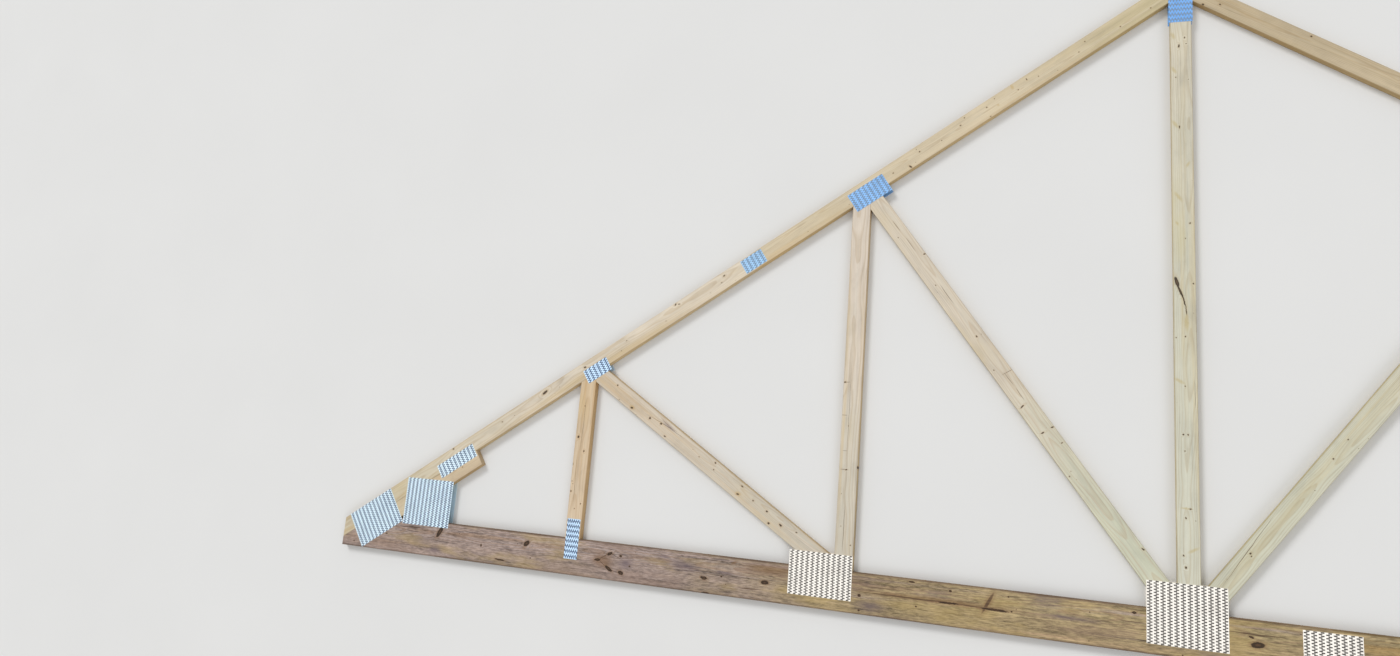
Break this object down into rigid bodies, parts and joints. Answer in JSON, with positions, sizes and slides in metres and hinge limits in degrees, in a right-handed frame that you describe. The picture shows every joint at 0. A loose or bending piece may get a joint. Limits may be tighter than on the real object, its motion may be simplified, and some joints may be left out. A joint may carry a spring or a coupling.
{
  "type": "wooden roof truss",
  "caption": "Pitched timber roof truss: sloping top chords, deep bottom chord, upright and diagonal webs, king post and heel sliders, joined by punched steel plates on both faces.",
  "frame": {"origin": "bottom centre of the bounding box: mid-span, halfway up the roof height, on the floor under the back plates", "axes": "the truss lies flat with its front face up: +X along the span to the right, +Y up the roof from bottom chord to ridge, +Z out of the front face"},
  "size_m": [8.7376, 3.0638, 0.04],
  "materials": {
    "chord_timber": "sawn and planed softwood, pale, dry",
    "web_timber": "planed softwood, pale cream, dry",
    "bottom_chord_timber": "planed softwood, weathered brown to yellow",
    "galvanised_plate": "bright galvanised sheet, punched"
  },
  "bodies": {
    "root": {"top_chord_lower_left": "chord_timber", "top_chord_lower_right": "chord_timber", "top_chord_upper_left": "chord_timber", "top_chord_upper_right": "chord_timber", "slider_left": "chord_timber", "slider_right": "chord_timber", "outer_post_left": "web_timber", "outer_post_right": "web_timber", "inner_post_left": "web_timber", "inner_post_right": "web_timber", "outer_diagonal_left": "web_timber", "outer_diagonal_right": "web_timber", "inner_diagonal_left": "web_timber", "inner_diagonal_right": "web_timber", "king_post": "web_timber", "bottom_chord_left": "bottom_chord_timber", "bottom_chord_right": "bottom_chord_timber", "heel_tip_plate_left_back": "galvanised_plate", "heel_tip_plate_left_front": "galvanised_plate", "heel_tip_plate_right_back": "galvanised_plate", "heel_tip_plate_right_front": "galvanised_plate", "heel_plate_left_back": "galvanised_plate", "heel_plate_left_front": "galvanised_plate", "heel_plate_right_back": "galvanised_plate", "heel_plate_right_front": "galvanised_plate", "slider_plate_left_back": "galvanised_plate", "slider_plate_left_front": "galvanised_plate", "slider_plate_right_back": "galvanised_plate", "slider_plate_right_front": "galvanised_plate", "outer_top_plate_left_back": "galvanised_plate", "outer_top_plate_left_front": "galvanised_plate", "outer_top_plate_right_back": "galvanised_plate", "outer_top_plate_right_front": "galvanised_plate", "top_splice_plate_left_back": "galvanised_plate", "top_splice_plate_left_front": "galvanised_plate", "top_splice_plate_right_back": "galvanised_plate", "top_splice_plate_right_front": "galvanised_plate", "inner_top_plate_left_back": "galvanised_plate", "inner_top_plate_left_front": "galvanised_plate", "inner_top_plate_right_back": "galvanised_plate", "inner_top_plate_right_front": "galvanised_plate", "outer_foot_plate_left_back": "galvanised_plate", "outer_foot_plate_left_front": "galvanised_plate", "outer_foot_plate_right_back": "galvanised_plate", "outer_foot_plate_right_front": "galvanised_plate", "inner_foot_plate_left_back": "galvanised_plate", "inner_foot_plate_left_front": "galvanised_plate", "inner_foot_plate_right_back": "galvanised_plate", "inner_foot_plate_right_front": "galvanised_plate", "king_foot_plate_back": "galvanised_plate", "king_foot_plate_front": "galvanised_plate", "peak_plate_back": "galvanised_plate", "peak_plate_front": "galvanised_plate", "bottom_splice_plate_back": "galvanised_plate", "bottom_splice_plate_front": "galvanised_plate"}
  },
  "joints": []
}
